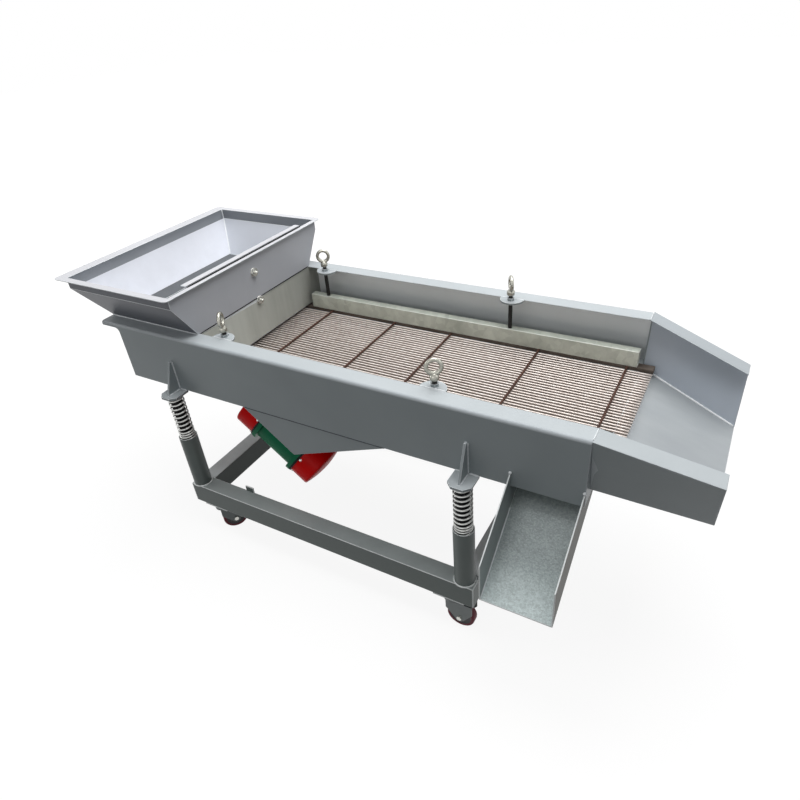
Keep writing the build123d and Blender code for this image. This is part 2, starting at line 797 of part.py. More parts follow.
hood_top_z = crown_z + fork_wall
for (side, end), (x, y) in caster_places.items():
    name = f"{side_names[side]}_{end}"
    kingpin = Axis((x, y, 0), (0, 0, 1))
    turn = caster_turns[side_names[side]][end_names.index(end)]
    axle_x = x + caster_trail
    hood_x = x + fork_hood_start
    with BuildPart() as fork:
        with BuildSketch(Plane.XY.offset(crown_z)):
            with Locations((x, y)):
                Circle(fork_crown_diameter / 2)
                Circle(kingpin_diameter / 2 + shaft_clearance, mode=Mode.SUBTRACT)
        extrude(amount=fork_crown_height)
        with BuildSketch(Plane.XY.offset(crown_z)):
            with Locations((hood_x, y)):
                Rectangle(fork_hood_length, 2 * leg_inner, align=(Align.MIN, Align.CENTER))
            with Locations((x, y)):
                Circle(fork_crown_diameter / 2 - fork_wall, mode=Mode.SUBTRACT)
        extrude(amount=fork_wall)
        for across_y in (y - leg_inner - fork_wall, y + leg_inner):
            with BuildSketch(Plane.XZ.offset(-across_y)):
                with Locations((axle_x, axle_z)):
                    Circle(fork_leg_radius)
                with Locations((hood_x, hood_top_z)):
                    Rectangle(fork_hood_length, fork_hood_drop, align=(Align.MIN, Align.MAX))
                make_hull()
                with Locations((axle_x, axle_z)):
                    Circle(axle_diameter / 2 + shaft_clearance, mode=Mode.SUBTRACT)
            extrude(amount=-fork_wall)
    save(fork, f"fork_{name}", kingpin, turn)

    with BuildPart() as wheel:
        with BuildSketch(Plane.XZ.offset(-y)):
            with Locations((axle_x, axle_z)):
                Circle(wheel_diameter / 2)
        extrude(amount=wheel_width / 2, both=True)
        fillet(edges().filter_by(GeomType.CIRCLE), wheel_edge)
        for diameter, mode in (
            (wheel_hub_diameter, Mode.ADD),
            (axle_diameter + 2 * shaft_clearance, Mode.SUBTRACT),
        ):
            with BuildSketch(Plane.XZ.offset(-y)):
                with Locations((axle_x, axle_z)):
                    Circle(diameter / 2)
            extrude(amount=wheel_hub_width / 2, both=True, mode=mode)
    save(wheel, f"wheel_{name}", kingpin, turn)

    with BuildPart() as axle:
        with BuildSketch(Plane.XZ.offset(-y)):
            with Locations((axle_x, axle_z)):
                Circle(axle_diameter / 2)
        extrude(amount=leg_inner + fork_wall + axle_head_height, both=True)
        for across_y in (y - leg_inner - fork_wall - axle_head_height, y + leg_inner + fork_wall):
            with BuildSketch(Plane.XZ.offset(-across_y)):
                with Locations((axle_x, axle_z)):
                    RegularPolygon(axle_head_flats / 2, 6, major_radius=False)
            extrude(amount=-axle_head_height)
    save(axle, f"axle_{name}", kingpin, turn)


# Motor bracket: a triangular plate under each side plate and the sloping motor plate between.
bracket_start_x = feed_x + bracket_start
bracket_low_x = feed_x + bracket_low
bracket_end_x = feed_x + bracket_end
bracket_low_z = trough_z - bracket_drop
for side in (near, far):
    with BuildPart() as motor_bracket:
        with BuildSketch(Plane.XZ.offset(-across(side, half_width))):
            with BuildLine():
                Polyline(
                    (bracket_start_x, trough_z),
                    (bracket_low_x, bracket_low_z),
                    (bracket_end_x, trough_z),
                    close=True,
                )
            make_face()
        extrude(amount=side * bracket_plate)
    save(motor_bracket, f"motor_bracket_{side_names[side]}")

# The mounting face slopes down from the bracket's feed end. Its normal is the throw's direction.
bracket_slope = math.atan2(bracket_drop, bracket_low - bracket_start)
along_motor = Vector(math.cos(bracket_slope), 0, -math.sin(bracket_slope))
throw = Vector(math.sin(bracket_slope), 0, math.cos(bracket_slope))
mount_face = Plane(origin=(bracket_start_x, mid_y, trough_z), x_dir=along_motor, z_dir=throw)
far_slope = math.atan2(bracket_drop, bracket_end - bracket_low)
motor_sideways = half_width - bracket_plate - motor_edge_gap - motor_foot_width / 2
motor_places = {side: (motor_centre_along, side * motor_sideways) for side in (near, far)}
bolt_places = [
    (along + i * motor_bolt_spacing[0] / 2, sideways + j * motor_bolt_spacing[1] / 2)
    for along, sideways in motor_places.values()
    for i in (-1, 1)
    for j in (-1, 1)
]
plate_low_edge = motor_plate / math.sin(bracket_slope + far_slope)
with BuildPart() as motor_mount_plate:
    with BuildSketch(Plane.XZ.offset(-mid_y)):
        with BuildLine():
            Polyline(
                (bracket_start_x, trough_z),
                (bracket_low_x, bracket_low_z),
                (
                    bracket_low_x + plate_low_edge * math.cos(far_slope),
                    bracket_low_z + plate_low_edge * math.sin(far_slope),
                ),
                (bracket_start_x + motor_plate / math.sin(bracket_slope), trough_z),
                close=True,
            )
        make_face()
    extrude(amount=half_width - bracket_plate, both=True)
    with BuildSketch(mount_face):
        with Locations(*bolt_places):
            Circle(motor_bolt_diameter / 2 + shaft_clearance)
    extrude(amount=motor_plate, mode=Mode.SUBTRACT)
save(motor_mount_plate, "motor_mount_plate")

with BuildPart() as motor_bolts:
    with BuildSketch(mount_face.offset(-motor_foot_thickness)):
        with Locations(*bolt_places):
            Circle(motor_bolt_diameter / 2)
    extrude(amount=motor_foot_thickness + motor_plate)
    for height in (-motor_foot_thickness - nut_height, motor_plate):
        with BuildSketch(mount_face.offset(height)):
            with Locations(*bolt_places):
                RegularPolygon(nut_across_flats / 2, 6, major_radius=False)
        extrude(amount=nut_height)
save(motor_bolts, "motor_bolts")


# Vibration motors: body with feet and end flanges, a cover over each end, and the shaft with
# its eccentric weights inside.
body_half = motor_length / 2 - motor_cap_length
cap_radius = motor_cap_diameter / 2


def motor_plane(side, distance):
    """Plane across a motor's axis, some distance from its middle, with Y towards the plate."""
    along, sideways = motor_places[side]
    origin = mount_face.from_local_coords((along + distance, sideways, -motor_axis_depth))
    return Plane(origin=origin, x_dir=(0, 1, 0), z_dir=along_motor)


for side in (near, far):
    with BuildPart() as motor_body:
        with BuildSketch(motor_plane(side, -body_half)):
            Circle(motor_body_diameter / 2)
            Rectangle(motor_web_width, motor_axis_depth, align=(Align.CENTER, Align.MIN))
            with Locations((0, motor_axis_depth)):
                Rectangle(motor_foot_width, motor_foot_thickness, align=(Align.CENTER, Align.MAX))
        extrude(amount=2 * body_half)
        for start in (-body_half, body_half - motor_flange_thickness):
            with BuildSketch(motor_plane(side, start)):
                Circle(motor_flange_diameter / 2)
            extrude(amount=motor_flange_thickness)
        with BuildSketch(motor_plane(side, -body_half)):
            Circle(motor_shaft_diameter / 2 + shaft_clearance)
        extrude(amount=2 * body_half, mode=Mode.SUBTRACT)
        with BuildSketch(mount_face):
            with Locations(*bolt_places):
                Circle(motor_bolt_diameter / 2 + shaft_clearance)
        extrude(amount=-motor_foot_thickness, mode=Mode.SUBTRACT)
    save(motor_body, f"motor_body_{side_names[side]}")

    with BuildPart() as motor_rotor:
        shaft_half = body_half + motor_cap_length - shaft_end_gap
        with BuildSketch(motor_plane(side, -shaft_half)):
            Circle(motor_shaft_diameter / 2)
        extrude(amount=2 * shaft_half)
        for end in (-1, 1):
            with BuildSketch(motor_plane(side, end * (body_half + weight_gap))):
                Circle(weight_radius)
                Rectangle(
                    2 * weight_radius,
                    weight_radius,
                    align=(Align.CENTER, Align.MIN),
                    mode=Mode.SUBTRACT,
                )
                Circle(weight_hub_diameter / 2)
            extrude(amount=end * weight_thickness)
    save(motor_rotor, f"motor_rotor_{side_names[side]}")

with BuildPart() as motor_covers:
    for side in (near, far):
        for end in (-1, 1):
            start = motor_plane(side, end * body_half).origin
            with BuildSketch(Plane(origin=start, x_dir=end * along_motor, z_dir=(0, 1, 0))):
                with BuildLine():
                    Polyline(
                        (0, cap_radius - motor_cap_wall),
                        (0, cap_radius),
                        (motor_cap_length, cap_radius),
                        (motor_cap_length, 0),
                        (motor_cap_length - motor_cap_wall, 0),
                        (motor_cap_length - motor_cap_wall, cap_radius - motor_cap_wall),
                        close=True,
                    )
                make_face()
                for depth in (0, motor_cap_wall):
                    corner = (motor_cap_length - depth, cap_radius - depth)
                    fillet(vertices().sort_by_distance(corner)[0], motor_cap_round - depth)
            revolve(axis=Axis(start, along_motor))
save(motor_covers, "motor_covers")
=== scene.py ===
"""Vibrating sieve: its dressed pieces, the stage, the lamps and the camera, in metres."""

import json
import math

import bmesh
import bpy
from mathutils import Matrix, Vector, noise


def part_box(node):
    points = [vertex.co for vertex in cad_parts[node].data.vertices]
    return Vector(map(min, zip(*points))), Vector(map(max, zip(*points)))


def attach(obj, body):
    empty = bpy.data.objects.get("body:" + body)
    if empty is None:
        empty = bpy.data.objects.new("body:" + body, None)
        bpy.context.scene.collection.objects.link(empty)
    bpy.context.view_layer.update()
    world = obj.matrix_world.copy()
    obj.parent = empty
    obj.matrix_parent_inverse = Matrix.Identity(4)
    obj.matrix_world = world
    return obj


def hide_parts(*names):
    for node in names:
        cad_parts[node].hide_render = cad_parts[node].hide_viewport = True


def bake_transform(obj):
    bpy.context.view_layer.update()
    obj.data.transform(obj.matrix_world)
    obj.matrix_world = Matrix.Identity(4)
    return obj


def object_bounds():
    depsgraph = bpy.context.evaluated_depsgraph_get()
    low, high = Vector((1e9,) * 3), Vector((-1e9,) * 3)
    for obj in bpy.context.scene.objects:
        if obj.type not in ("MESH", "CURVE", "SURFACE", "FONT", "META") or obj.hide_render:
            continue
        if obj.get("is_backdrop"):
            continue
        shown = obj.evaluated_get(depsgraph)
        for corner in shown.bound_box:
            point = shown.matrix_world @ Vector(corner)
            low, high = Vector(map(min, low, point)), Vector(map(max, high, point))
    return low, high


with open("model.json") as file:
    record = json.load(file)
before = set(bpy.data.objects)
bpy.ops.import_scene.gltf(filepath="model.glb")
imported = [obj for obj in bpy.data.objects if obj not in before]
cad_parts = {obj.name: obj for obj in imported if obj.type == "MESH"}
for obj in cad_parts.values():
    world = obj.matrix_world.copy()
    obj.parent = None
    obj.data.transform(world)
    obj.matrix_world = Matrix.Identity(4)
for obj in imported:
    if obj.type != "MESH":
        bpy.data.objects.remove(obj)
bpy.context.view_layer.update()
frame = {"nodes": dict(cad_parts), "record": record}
scene = bpy.context.scene
nodes = frame["nodes"]
body_of = {
    node: body
    for body, members in frame["record"]["behaviour"]["bodies"].items()
    for node in members
}
slot_of = {part["node"]: part["material_slot"] for part in frame["record"]["subparts"]}
sides = ("near", "far")
ends = ("feed", "discharge")
corners = [f"{side}_{end}" for side in sides for end in ends]


# Places: X runs from the feed end to the discharge end, Y from the near side to the far side

bolts_low, bolts_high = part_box("gate_bolts")
mid_y = (bolts_low.y + bolts_high.y) / 2
trough_half = 0.300
trough_z = 0.517
flange_z = 0.690
seam_x = 0.640
end_x = 0.886
spout_start_z = 0.540
spout_end_z = 0.467
hopper_mid_x = -0.649
hopper_front_x = -0.446
hopper_foot_half = 0.2565
rim_under_z = 0.822
band_foot_z = 0.792
rail_z = 0.180
rail_foot_z = 0.110
post_x = (-0.540, 0.373)
post_half = 0.325
jack_x = (-0.367, 0.268)
chute_x = (0.475, 0.640)
chute_start_y = -0.2435
chute_end_y = -0.414


def across(side, distance):
    """Y at a distance from the middle plane: side is -1 for the near side, 1 for the far side."""
    return mid_y + side * distance


# Shader nodes


def linear(red, green, blue):
    """A colour of 0 to 255 per channel as the linear colour of a socket."""
    channels = []
    for value in (red, green, blue):
        value = value / 255
        channels.append(value / 12.92 if value <= 0.04045 else ((value + 0.055) / 1.055) ** 2.4)
    return (*channels, 1.0)


def add_node(tree, kind, **values):
    """A new node: each value goes to the input of that name, or else to the property."""
    node = tree.nodes.new(kind)
    for key, value in values.items():
        if key in node.inputs:
            node.inputs[key].default_value = value
        else:
            setattr(node, key, value)
    return node


def mapped(tree, value, span, onto, way="LINEAR"):
    """A value carried from one span onto another and held within it."""
    names = ("From Min", "From Max", "To Min", "To Max")
    node = add_node(tree, "ShaderNodeMapRange", interpolation_type=way,
                    **dict(zip(names, (*span, *onto))))
    tree.links.new(value, node.inputs["Value"])
    return node.outputs["Result"]


def combined(tree, operation, first, second):
    """Two values put together by an operation of the math node."""
    node = add_node(tree, "ShaderNodeMath", operation=operation)
    tree.links.new(first, node.inputs[0])
    tree.links.new(second, node.inputs[1])
    return node.outputs[0]


def part_of(tree, vector, axis):
    """The X, Y or Z part of a vector."""
    parts = add_node(tree, "ShaderNodeSeparateXYZ")
    tree.links.new(vector, parts.inputs["Vector"])
    return parts.outputs[axis]


def times(tree, colour, factor):
    """A colour multiplied by a value."""
    blend = add_node(tree, "ShaderNodeMix", data_type="RGBA", blend_type="MULTIPLY")
    blend.inputs["Factor"].default_value = 1.0
    tree.links.new(colour, blend.inputs[6])
    tree.links.new(factor, blend.inputs[7])
    return blend.outputs[2]


# Finishes

rough_spread = 0.08


def finish_of(name, tones, rough, metal=0.0, patch=4.0, grain=260.0, grain_height=0.00012,
              dust=None, specular=0.5, stretch=(1, 1, 1), spangle=0.0, spangle_scale=70.0,
              hammer=0.0, hammer_scale=90.0, fade=None):
    """A finish with wide patches of tone and a fine grain.

    tones: (place on the noise, colour) pairs. Painted light on upward faces: (colour, share, upward
    part of the normal where it starts, upward part where it is full). Painted shade along Y: (Y of
    the shaded end, Y of the plain end, share of the colour left at the shaded end).
    """
    made = bpy.data.materials.new(name)
    made.use_nodes = True
    tree = made.node_tree
    tree.nodes.clear()
    link = tree.links.new
    out = add_node(tree, "ShaderNodeOutputMaterial")
    shader = add_node(tree, "ShaderNodeBsdfPrincipled")
    link(shader.outputs["BSDF"], out.inputs["Surface"])
    shader.inputs["Metallic"].default_value = metal
    shader.inputs["Specular IOR Level"].default_value = specular
    own = add_node(tree, "ShaderNodeTexCoord").outputs["Object"]
    mapping = add_node(tree, "ShaderNodeMapping", Scale=stretch)
    link(own, mapping.inputs["Vector"])

    def texture(kind, **values):
        node = add_node(tree, kind, **values)
        link(mapping.outputs["Vector"], node.inputs["Vector"])
        return node.outputs

    wide = texture("ShaderNodeTexNoise", Scale=patch, Detail=4.0, Roughness=0.6)["Fac"]
    ramp = add_node(tree, "ShaderNodeValToRGB")
    while len(ramp.color_ramp.elements) < len(tones):
        ramp.color_ramp.elements.new(0.5)
    for element, (position, colour) in zip(ramp.color_ramp.elements, tones):
        element.position = position
        element.color = linear(*colour)
    link(wide, ramp.inputs["Fac"])
    colour = ramp.outputs["Color"]
    height = texture("ShaderNodeTexNoise", Scale=grain, Detail=3.0, Roughness=0.55)["Fac"]
    if spangle:
        cells = texture("ShaderNodeTexVoronoi", Scale=spangle_scale)["Color"]
        grey = add_node(tree, "ShaderNodeSeparateColor")
        link(cells, grey.inputs["Color"])
        factor = mapped(tree, grey.outputs[0], (0, 1), (1.0 - spangle, 1.0 + spangle * 0.6))
        colour = times(tree, colour, factor)
    if hammer:
        dents = texture("ShaderNodeTexVoronoi", feature="SMOOTH_F1", Scale=hammer_scale,
                        Smoothness=0.6)["Distance"]
        stack = add_node(tree, "ShaderNodeMath", operation="MULTIPLY_ADD")
        link(dents, stack.inputs[0])
        stack.inputs[1].default_value = hammer
        link(height, stack.inputs[2])
        height = stack.outputs[0]
    # Painted shade: the colour darkens towards one Y, standing in for shade that falls there.
    if fade:
        dark_y, plain_y, left = fade
        factor = mapped(tree, part_of(tree, own, "Y"), (dark_y, plain_y), (left, 1), "SMOOTHSTEP")
        colour = times(tree, colour, factor)
    # Painted light: upward faces blend in patches toward a lighter colour, for light falling from
    # above.
    if dust:
        dust_colour, most, start, full = dust
        normal = add_node(tree, "ShaderNodeNewGeometry").outputs["Normal"]
        upward = mapped(tree, part_of(tree, normal, "Z"), (start, full), (0, most))
        cloud = texture("ShaderNodeTexNoise", Scale=patch * 3.1, Detail=5.0, Roughness=0.65)["Fac"]
        share = mapped(tree, cloud, (0.3, 0.7), (0.8, 1))
        light_on_top = add_node(tree, "ShaderNodeMix", data_type="RGBA")
        link(combined(tree, "MULTIPLY", upward, share), light_on_top.inputs["Factor"])
        link(colour, light_on_top.inputs[6])
        light_on_top.inputs[7].default_value = linear(*dust_colour)
        colour = light_on_top.outputs[2]
    link(colour, shader.inputs["Base Color"])
    roughness = mapped(tree, wide, (0, 1), (rough - rough_spread, rough + rough_spread))
    link(roughness, shader.inputs["Roughness"])
    bump = add_node(tree, "ShaderNodeBump", Strength=1.0, Distance=grain_height)
    link(height, bump.inputs["Height"])
    link(bump.outputs["Normal"], shader.inputs["Normal"])
    return made


def two_tone(name, dark, light, rough, **more):
    return finish_of(name, [(0.3, dark), (0.7, light)], rough, **more)


# Trough
# The trough paint, with painted light: its upward faces lighter, for light from above.
paint = finish_of("trough_paint",
                  [(0.3, (134, 142, 145)), (0.55, (142, 150, 153)), (0.8, (149, 156, 158))], 0.40,
                  patch=2.2, dust=((176, 182, 185), 0.95, 0.25, 0.95), specular=0.3)
# Painted shade: the trough paint with dimmer painted light on upward faces, for the far spout wall.
far_spout_shaded_paint = finish_of("far_spout_shaded_paint", [(0.3, (134, 142, 145)), (0.8, (149, 156, 158))],
                            0.42, patch=2.2, dust=((160, 166, 170), 0.95, 0.25, 0.95),
                            specular=0.3)
# Painted highlight: lighter edges of the trough's side sheets.
side_edge_highlight = two_tone("trough_side_edge", (158, 165, 169), (170, 176, 180), 0.40, patch=9.0,
                     specular=0.3)
# Painted light: the trough's inner faces lighter, for light bounced inside the trough.
inside_lit_paint = two_tone("inside_lit_paint", (222, 226, 228), (232, 235, 237), 0.42, patch=2.6,
                        specular=0.4)
# Painted highlight: light edges and bevels of the painted sheets.
paint_edge_highlight = two_tone("trough_paint_edge", (206, 211, 214), (222, 226, 229), 0.32, patch=9.0)
# Painted light: the far spout wall's inner face lighter than the paint, dimmer and bluer than the
# trough's inner faces.
spout_inside_lit = two_tone("spout_inside_lit", (172, 180, 190), (184, 192, 202), 0.42, patch=2.6,
                        specular=0.3)
floor_paint = finish_of("spout_floor_paint",
                        [(0.25, (146, 151, 155)), (0.5, (156, 161, 164)), (0.8, (170, 174, 176))],
                        0.42, patch=3.4, specular=0.4, stretch=(0.5, 1.6, 1))
# The pan's brown, darkened as painted shade between the wires; also painted shade on the screen
# strips and the strip under the wire ends.
pan_brown_shade = finish_of("pan_brown_shade",
                      [(0.3, (66, 56, 49)), (0.5, (84, 74, 66)), (0.75, (104, 94, 86))], 0.62,
                      patch=14.0)

# Hopper and feed
# Hopper paint with painted light: upward faces near a lavender white, for light and sky falling on
# them.
hopper_paint = two_tone("hopper_paint", (166, 169, 175), (176, 179, 185), 0.36, patch=2.6,
                        dust=((236, 239, 248), 0.95, 0.15, 0.5), specular=0.35)
# Painted light: a lighter, bluer copy of the hopper paint for the far slope.
far_slope_lit_paint = two_tone("hopper_far_slope_paint", (194, 198, 206), (204, 208, 216), 0.36,
                           patch=2.6, specular=0.35)
# Painted light: a lighter copy of the hopper paint for the rim's top faces and the gate's top.
rim_top_lit_paint = two_tone("hopper_rim_paint", (186, 187, 191), (196, 197, 201), 0.55, patch=4.0,
                     specular=0.15)
# Painted shade: a darker copy of the hopper paint for faces that look down or out of its near side.
slope_paint = two_tone("hopper_slope_paint", (94, 97, 104), (104, 107, 114), 0.42, patch=3.0,
                       specular=0.3)
# Painted shade: a darker copy of the hopper paint for the band's inner faces.
band_shade_paint = two_tone("hopper_band_paint", (122, 127, 133), (134, 138, 144), 0.42, patch=3.0,
                      specular=0.3)
# The feed plate's dark grey, darkened further as painted shade inside the trough; on the end
# plate's top it is painted shade only.
feed_plate_dark_shade = two_tone("feed_plate_dark_shade", (66, 70, 74), (80, 84, 88), 0.5, patch=6.0)
# Painted shade: the baffle darkens towards its far end.
baffle_paint = finish_of("baffle_paint",
                         [(0.28, (164, 167, 160)), (0.5, (184, 187, 180)), (0.72, (198, 201, 195))],
                         0.48, patch=5.0, stretch=(1, 2.2, 0.35), fade=(0.36, -0.12, 0.62))

# Chute
# Painted shade: the hammered floor darkens towards the trough, for the trough's shadow.
chute_floor_paint = two_tone("chute_hammered", (176, 189, 189), (200, 211, 211), 0.30, metal=0.2,
                             patch=5.0, hammer=1.0, hammer_scale=300.0, grain_height=0.00035,
                             spangle=0.20, spangle_scale=310.0, fade=(-0.30, -0.42, 0.52))
chute_paint = two_tone("chute_paint", (112, 121, 122), (126, 135, 135), 0.38, patch=4.0)
# Painted shade: a darker copy for the outer face of the chute wall at the discharge side.
chute_outside_shade = two_tone("chute_outside_shade", (58, 57, 51), (72, 71, 64), 0.46, patch=5.0,
                         specular=0.25)

# Bare metal
zinc = two_tone("zinc_plate", (206, 206, 200), (228, 228, 222), 0.24, metal=0.7, patch=30.0)
eye_steel = two_tone("eye_steel", (152, 151, 142), (180, 179, 170), 0.26, metal=0.8, patch=30.0)
dark_thread = two_tone("dark_thread", (26, 26, 26), (44, 43, 42), 0.5, metal=0.3, patch=60.0,
                       specular=0.25)
galvanised = two_tone("galvanised", (178, 184, 173), (204, 209, 198), 0.38, metal=0.2, patch=12.0,
                      spangle=0.12, spangle_scale=60.0)
# Painted highlight: light edges of the galvanised bars.
galvanised_edge_highlight = two_tone("galvanised_edge_highlight", (206, 210, 205), (222, 225, 220), 0.3, metal=0.3)
wire_steel = finish_of("screen_wire",
                       [(0.25, (196, 182, 174)), (0.5, (218, 207, 200)), (0.75, (232, 225, 220))],
                       0.4, metal=0.25, patch=60.0)
rod_steel = two_tone("cross_rod", (56, 38, 32), (84, 58, 48), 0.6, metal=0.1, patch=60.0,
                     specular=0.2)
spring_steel = two_tone("spring_steel", (186, 187, 185), (214, 215, 212), 0.34, metal=0.6,
                        patch=80.0)
rotor_iron = two_tone("rotor_iron", (90, 90, 90), (112, 112, 112), 0.4, metal=0.8)

# Frame and casters
# Frame paint with painted light: upward faces lighter, for light from above.
frame_paint = finish_of("frame_paint",
                        [(0.3, (90, 98, 97)), (0.6, (99, 107, 105)), (0.8, (107, 114, 112))],
                        0.42, patch=4.0, dust=((158, 165, 165), 0.95, 0.3, 0.95), specular=0.25)
# Painted light: the cross rails' upward faces near white, though they lie in the trough's shade.
cross_lit_paint = finish_of("cross_rail_lit_paint", [(0.3, (84, 91, 89)), (0.8, (98, 105, 103))], 0.42,
                        patch=4.0, dust=((236, 240, 241), 0.98, 0.2, 0.9), specular=0.25)
# Painted highlight: light edges of the frame, also used for its welds.
frame_edge_highlight = two_tone("frame_paint_edge", (212, 217, 217), (228, 232, 232), 0.34, patch=9.0)
fork_paint = two_tone("fork_paint", (100, 107, 107), (116, 123, 123), 0.42, patch=20.0)
wheel_tread = two_tone("wheel_tread", (84, 18, 32), (102, 26, 40), 0.5, patch=40.0, specular=0.25)
wheel_core = two_tone("wheel_core", (52, 50, 52), (70, 68, 70), 0.5, patch=40.0, specular=0.3)
core_rubber = two_tone("core_rubber", (18, 18, 19), (30, 30, 31), 0.7, patch=60.0, specular=0.15)

# Motors
motor_green = two_tone("motor_green", (0, 100, 66), (2, 114, 76), 0.42, patch=20.0, grain=140.0,
                       grain_height=0.0003, specular=0.12)
motor_red = two_tone("motor_red", (222, 6, 6), (236, 10, 9), 0.36, patch=20.0, specular=0.1)
gasket = two_tone("gasket", (12, 13, 13), (24, 25, 25), 0.6, patch=60.0, specular=0.15)

# Welds and seams: the welds' light colours are painted highlight, seam_shade is painted shade
weld_strong_highlight = two_tone("weld_strong_highlight", (228, 232, 234), (240, 242, 244), 0.3, patch=60.0)
weld_highlight = two_tone("weld_highlight", (198, 203, 206), (216, 220, 222), 0.34, patch=60.0)
seam_shade = two_tone("seam_shade", (62, 67, 71), (80, 85, 89), 0.6, patch=60.0, specular=0.2)


# Where the finishes go: (face, edge with its painted highlight) by slot, then by node, then by the
# way a face looks

skins = {
    "trough_paint": (paint, paint_edge_highlight),
    "hopper_paint": (hopper_paint, paint_edge_highlight),
    "chute_paint": (chute_paint, frame_edge_highlight),
    "zinc": (zinc, zinc),
    "galvanised": (galvanised, galvanised_edge_highlight),
    "screen_steel": (wire_steel, wire_steel),
    "rod_steel": (rod_steel, rod_steel),
    "frame_paint": (frame_paint, frame_edge_highlight),
    "spring_steel": (spring_steel, spring_steel),
    "motor_green": (motor_green, motor_green),
    "motor_red": (motor_red, motor_red),
    "rotor_iron": (rotor_iron, rotor_iron),
    "fork_paint": (fork_paint, fork_paint),
    "axle_zinc": (zinc, zinc),
    "wheel_plastic": (wheel_tread, wheel_tread),
}
own_skin = {
    "bottom_pan": (pan_brown_shade, pan_brown_shade),
    "feed_baffle": (baffle_paint, paint_edge_highlight),
    "spout_floor": (floor_paint, paint_edge_highlight),
    "feed_plate": (feed_plate_dark_shade, paint_edge_highlight),
    # Painted shade: the screen strips dark like the shade between the wires.
    "screen_strips": (pan_brown_shade, pan_brown_shade),
    "trough_side_near": (paint, side_edge_highlight),
    "trough_side_far": (paint, side_edge_highlight),
    "spout_wall_near": (paint, side_edge_highlight),
    "spout_wall_far": (far_spout_shaded_paint, side_edge_highlight),
    "seam_frame": (paint, paint),
    "chute_floor": (chute_floor_paint, frame_edge_highlight),
    "cross_rail_feed": (cross_lit_paint, frame_edge_highlight),
    "cross_rail_discharge": (cross_lit_paint, frame_edge_highlight),
}


def looks(axis, least):
    """A test for faces that look along an axis, backward where least is negative."""
    sign = math.copysign(1, least)
    return lambda face: getattr(face.normal, axis) * sign > abs(least)


def chute_outer(face):
    return face.normal.x > 0.7 and face.calc_center_median().x > 0.6


def band_inside(face):
    """Whether an upright face of the hopper's band looks inward."""
    centre = face.calc_center_median()
    outward = (centre.x - hopper_mid_x) * face.normal.x + (centre.y - mid_y) * face.normal.y
    return abs(face.normal.z) < 0.2 and centre.z > band_foot_z + 0.001 and outward < 0


def hopper_outside(face):
    """Whether a face of the hopper looks down, or out of its near side below the rim."""
    centre = face.calc_center_median()
    near_wall = face.normal.y < -0.7 and centre.y < across(-1, hopper_foot_half)
    return centre.z < rim_under_z - 0.002 and (face.normal.z < -0.05 or near_wall)


def far_slope(face):
    return face.normal.y < -0.3 and face.normal.z > 0.05


second_skin = {
    # Painted light on the inner faces of the trough sides and spout walls.
    "trough_side_near": [(inside_lit_paint, looks("y", 0.7))],
    "trough_side_far": [(inside_lit_paint, looks("y", -0.7))],
    "spout_wall_near": [(inside_lit_paint, looks("y", 0.7))],
    "spout_wall_far": [(spout_inside_lit, looks("y", -0.7))],
    # Painted shade on the outer face of the chute wall.
    "chute_walls": [(chute_outside_shade, chute_outer)],
    # Painted light on the gate's top faces.
    "feed_gate": [(rim_top_lit_paint, looks("z", 0.7))],
    # Painted shade on the feed end plate's top faces under the hopper.
    "feed_end_plate": [(feed_plate_dark_shade, looks("z", 0.7))],
    # The hopper: painted shade on the band's inner faces and on its outside, painted light on the
    # rim's top and the far slope.
    "hopper": [(band_shade_paint, band_inside), (rim_top_lit_paint, looks("z", 0.9)),
               (slope_paint, hopper_outside), (far_slope_lit_paint, far_slope)],
}


# Making pieces


def add_object(name, mesh):
    made = bpy.data.objects.new(name, mesh)
    scene.collection.objects.link(made)
    return made


def place(made, body, slot, *replaced):
    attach(made, body)
    if replaced:
        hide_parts(*replaced)


def dressed(node, width):
    """A node's own solid with finishes and broken edges.

    Long faces narrower than sheet_edge are the edges of sheets and get the edge finish, a painted
    highlight.
    """
    skin, edge_highlight_skin = own_skin.get(node, skins[slot_of[node]])
    others = second_skin.get(node, [])
    mesh = nodes[node].data.copy()
    mesh.materials.clear()
    for finish in (skin, edge_highlight_skin, *(other for other, _ in others)):
        mesh.materials.append(finish)
    shape = bmesh.new()
    shape.from_mesh(mesh)
    bmesh.ops.remove_doubles(shape, verts=shape.verts, dist=2e-6)
    bmesh.ops.dissolve_limit(shape, angle_limit=math.radians(1.0), verts=shape.verts,
                             edges=shape.edges)
    for face in shape.faces:
        longest = max(edge.calc_length() for edge in face.edges)
        thin = longest > sheet_length and face.calc_area() / longest < sheet_edge
        face.material_index = 1 if thin and node not in round_nodes else 0
        for index, (_, chosen) in enumerate(others):
            if chosen(face):
                face.material_index = index + 2
        face.smooth = width > 0
    shape.to_mesh(mesh)
    shape.free()
    made = add_object(node + "_skin", mesh)
    if width:
        bevel = made.modifiers.new("edge", "BEVEL")
        bevel.width = width
        bevel.segments = 2
        bevel.limit_method = "ANGLE"
        bevel.angle_limit = math.radians(32)
        # The bevels get the edge finish: a painted highlight along each broken edge.
        bevel.material = 1
        bevel.use_clamp_overlap = True
    normals = made.modifiers.new("normals", "WEIGHTED_NORMAL")
    normals.keep_sharp = True
    place(made, body_of[node], slot_of[node], node)


def circle(count):
    """Angles of a full turn."""
    return [2 * math.pi * k / count for k in range(count)]


